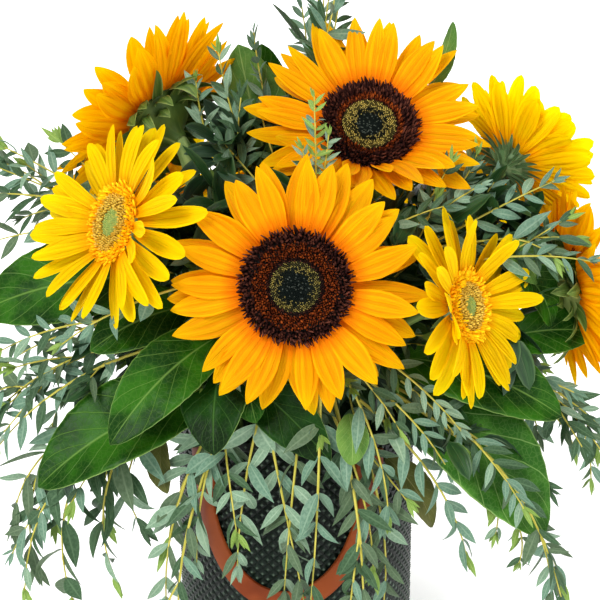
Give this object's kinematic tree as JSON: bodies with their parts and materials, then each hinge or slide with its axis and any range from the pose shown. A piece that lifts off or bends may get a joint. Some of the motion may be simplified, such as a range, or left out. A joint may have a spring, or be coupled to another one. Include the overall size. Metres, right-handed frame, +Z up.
{
  "type": "sunflower arrangement",
  "caption": "Round arrangement of cut sunflowers and gerberas among broad leaves and eucalyptus sprays, in a cylindrical lattice-embossed pot with hanging strap handles.",
  "frame": {"origin": "centre of the pot's flat underside, on the surface it stands on", "axes": "+Z up along the pot's axis; -Y is the front, which the large middle sunflower faces; +X is to the right seen from the front"},
  "size_m": [0.3863, 0.3163, 0.418],
  "materials": {
    "pot": "dark grey-green moulded plastic with a fine embossed diamond lattice",
    "strap": "flat terracotta leather-like strap, matte",
    "foam": "water-soaked green floral foam",
    "sunflower_stem": "green, hairy stem",
    "sunflower_disc": "dark brown florets round a dotted olive middle, green calyx behind",
    "sunflower_ray": "warm orange-yellow petals, ridged lengthwise",
    "gerbera_stem": "smooth green stem",
    "gerbera_disc": "green eye in rings of yellow florets, green calyx behind",
    "gerbera_ray": "bright yellow petals, ridged lengthwise",
    "salal_leaf": "glossy dark green leaf with paler veins",
    "shaded_foliage": "dense green foliage inside the arrangement",
    "eucalyptus": "blue-green narrow leaves on yellow-green stems"
  },
  "bodies": {
    "root": {"pot": "pot", "handle_front": "strap", "handle_back": "strap", "foam": "foam", "sunflower_front_stem": "sunflower_stem", "sunflower_front_head": "sunflower_disc", "sunflower_front_rays": "sunflower_ray", "sunflower_top_stem": "sunflower_stem", "sunflower_top_head": "sunflower_disc", "sunflower_top_rays": "sunflower_ray", "sunflower_left_stem": "sunflower_stem", "sunflower_left_head": "sunflower_disc", "sunflower_left_rays": "sunflower_ray", "sunflower_right_stem": "sunflower_stem", "sunflower_right_head": "sunflower_disc", "sunflower_right_rays": "sunflower_ray", "sunflower_back_stem": "sunflower_stem", "sunflower_back_head": "sunflower_disc", "sunflower_back_rays": "sunflower_ray", "gerbera_left_stem": "gerbera_stem", "gerbera_left_head": "gerbera_disc", "gerbera_left_rays": "gerbera_ray", "gerbera_right_stem": "gerbera_stem", "gerbera_right_head": "gerbera_disc", "gerbera_right_rays": "gerbera_ray", "gerbera_far_right_stem": "gerbera_stem", "gerbera_far_right_head": "gerbera_disc", "gerbera_far_right_rays": "gerbera_ray", "gerbera_back_left_stem": "gerbera_stem", "gerbera_back_left_head": "gerbera_disc", "gerbera_back_left_rays": "gerbera_ray", "gerbera_back_right_stem": "gerbera_stem", "gerbera_back_right_head": "gerbera_disc", "gerbera_back_right_rays": "gerbera_ray", "leaf_left": "salal_leaf", "leaf_left_inner": "salal_leaf", "leaf_front_left": "salal_leaf", "leaf_low_left": "salal_leaf", "leaf_front": "salal_leaf", "leaf_front_low": "salal_leaf", "leaf_right": "salal_leaf", "leaf_low_right": "salal_leaf", "leaf_crest": "salal_leaf", "leaf_back_left": "salal_leaf", "leaf_back_right": "salal_leaf", "foliage_core": "shaded_foliage", "eucalyptus_crest": "eucalyptus", "eucalyptus_centre": "eucalyptus", "eucalyptus_left_high": "eucalyptus", "eucalyptus_left_low": "eucalyptus", "eucalyptus_corner_left": "eucalyptus", "eucalyptus_pot_left": "eucalyptus", "eucalyptus_pot_right": "eucalyptus", "eucalyptus_corner_right": "eucalyptus", "eucalyptus_right_low": "eucalyptus", "eucalyptus_right_high": "eucalyptus", "eucalyptus_back_left": "eucalyptus", "eucalyptus_back_right": "eucalyptus", "eucalyptus_pot_back": "eucalyptus", "eucalyptus_pot_far_back": "eucalyptus"}
  },
  "joints": []
}
